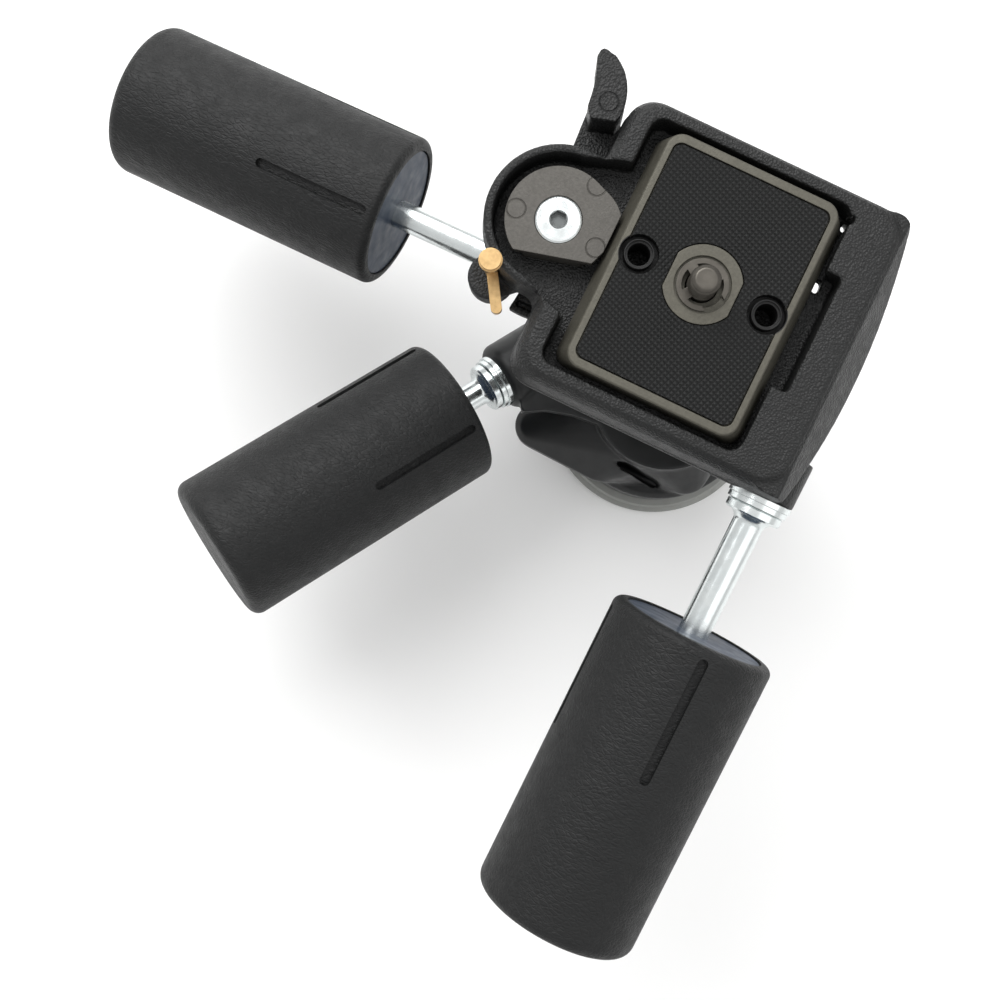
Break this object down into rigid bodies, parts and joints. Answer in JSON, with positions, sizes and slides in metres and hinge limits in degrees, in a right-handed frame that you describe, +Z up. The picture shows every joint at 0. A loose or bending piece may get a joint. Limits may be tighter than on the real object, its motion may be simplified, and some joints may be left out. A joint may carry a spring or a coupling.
{
  "type": "three way pan tilt head",
  "caption": "Camera head for a tripod that pans, tilts and tips sideways, each clamped by its own screw handle, with a quick release plate held by a sprung cam lever.",
  "frame": {"origin": "centre of the base's underside, on the pan axis", "axes": "+Z up along the pan axis, +X along the side tilt axle towards the round cover, +Y along the tilt axle away from the side handle"},
  "size_m": [0.1972, 0.1745, 0.1313],
  "materials": {
    "base_alloy": "satin, turned",
    "steel": "plain machined",
    "slip_plastic": "natural low-friction plastic",
    "grey_casting": "smooth half-matt dark grey coat on a light alloy casting",
    "black_casting": "black pebbled powder coat on a light alloy casting",
    "black_plastic": "moulded, fine texture",
    "olive_alloy": "olive grey, bare cast surface with tool marks",
    "pad_rubber": "fine diamond texture",
    "dark_steel": "dark phosphate",
    "zinc_steel": "bright zinc plate",
    "brass": "plain turned",
    "core_plastic": "moulded, blue grey",
    "grip_rubber": "leather-grained rubber"
  },
  "bodies": {
    "base": {"base_disc": "base_alloy", "tripod_bush": "steel", "thrust_washer": "slip_plastic", "pan_retainer": "steel"},
    "pan_stage": {"pan_body": "grey_casting", "pan_cover": "black_plastic", "tilt_axle": "steel", "axle_screws": "steel", "pan_nut": "steel"},
    "pan_handle": {"pan_rod": "zinc_steel", "pan_washers": "zinc_steel", "pan_core": "core_plastic", "pan_grip": "grip_rubber"},
    "tilt_stage": {"tilt_block": "grey_casting", "side_axle": "steel", "tilt_nut": "steel"},
    "tilt_handle": {"tilt_rod": "zinc_steel", "tilt_washers": "zinc_steel", "tilt_core": "core_plastic", "tilt_grip": "grip_rubber"},
    "deck": {"platform": "black_casting", "axle_cap": "black_plastic", "side_nut": "steel", "quick_plate": "olive_alloy", "plate_pad": "pad_rubber", "catch_pivot": "steel"},
    "side_handle": {"side_rod": "zinc_steel", "side_washers": "zinc_steel", "side_core": "core_plastic", "side_grip": "grip_rubber"},
    "screw": {"camera_screw": "dark_steel", "screw_clip": "dark_steel"},
    "lever": {"release_lever": "black_casting", "clamp_cam": "olive_alloy", "cam_screw": "zinc_steel", "lever_spring": "steel"},
    "catch": {"safety_catch": "brass"}
  },
  "joints": [
    {"name": "pan", "type": "hinge", "parent": "base", "child": "pan_stage", "pos_m": [0, 0, 0.0061], "axis": [0, 0, 1], "continuous": true},
    {"name": "tilt", "type": "hinge", "parent": "pan_stage", "child": "tilt_stage", "pos_m": [0, 0.0075, 0.061], "axis": [0, 1, 0], "range_deg": [-30, 90]},
    {"name": "side_tilt", "type": "hinge", "parent": "tilt_stage", "child": "deck", "pos_m": [0.003, 0.013, 0.0935], "axis": [-1, 0, 0], "range_deg": [-30, 90]},
    {"name": "pan_lock", "type": "hinge", "parent": "pan_stage", "child": "pan_handle", "pos_m": [-0.02358, 0.01434, 0.0315], "axis": [-0.5013, -0.8246, 0.2622], "range_deg": [0, 180]},
    {"name": "tilt_lock", "type": "hinge", "parent": "tilt_stage", "child": "tilt_handle", "pos_m": [0, 0.0088, 0.075], "axis": [-0.9954, 0, -0.0958], "range_deg": [0, 180]},
    {"name": "side_lock", "type": "hinge", "parent": "deck", "child": "side_handle", "pos_m": [0.0254, 0, 0.1048], "axis": [0, -0.9954, -0.0958], "range_deg": [0, 180]},
    {"name": "camera_screw_turn", "type": "hinge", "parent": "deck", "child": "screw", "pos_m": [-0.007, 0.0132, 0.12], "axis": [0, 0, 1], "continuous": true},
    {"name": "plate_release", "type": "hinge", "parent": "deck", "child": "lever", "pos_m": [-0.0395, 0.0132, 0.112], "axis": [0, 0, 1], "range_deg": [0, 75]},
    {"name": "catch_turn", "type": "hinge", "parent": "deck", "child": "catch", "pos_m": [-0.04824, -0.00079, 0.115], "axis": [0, 0, 1], "range_deg": [-60, 0]}
  ]
}
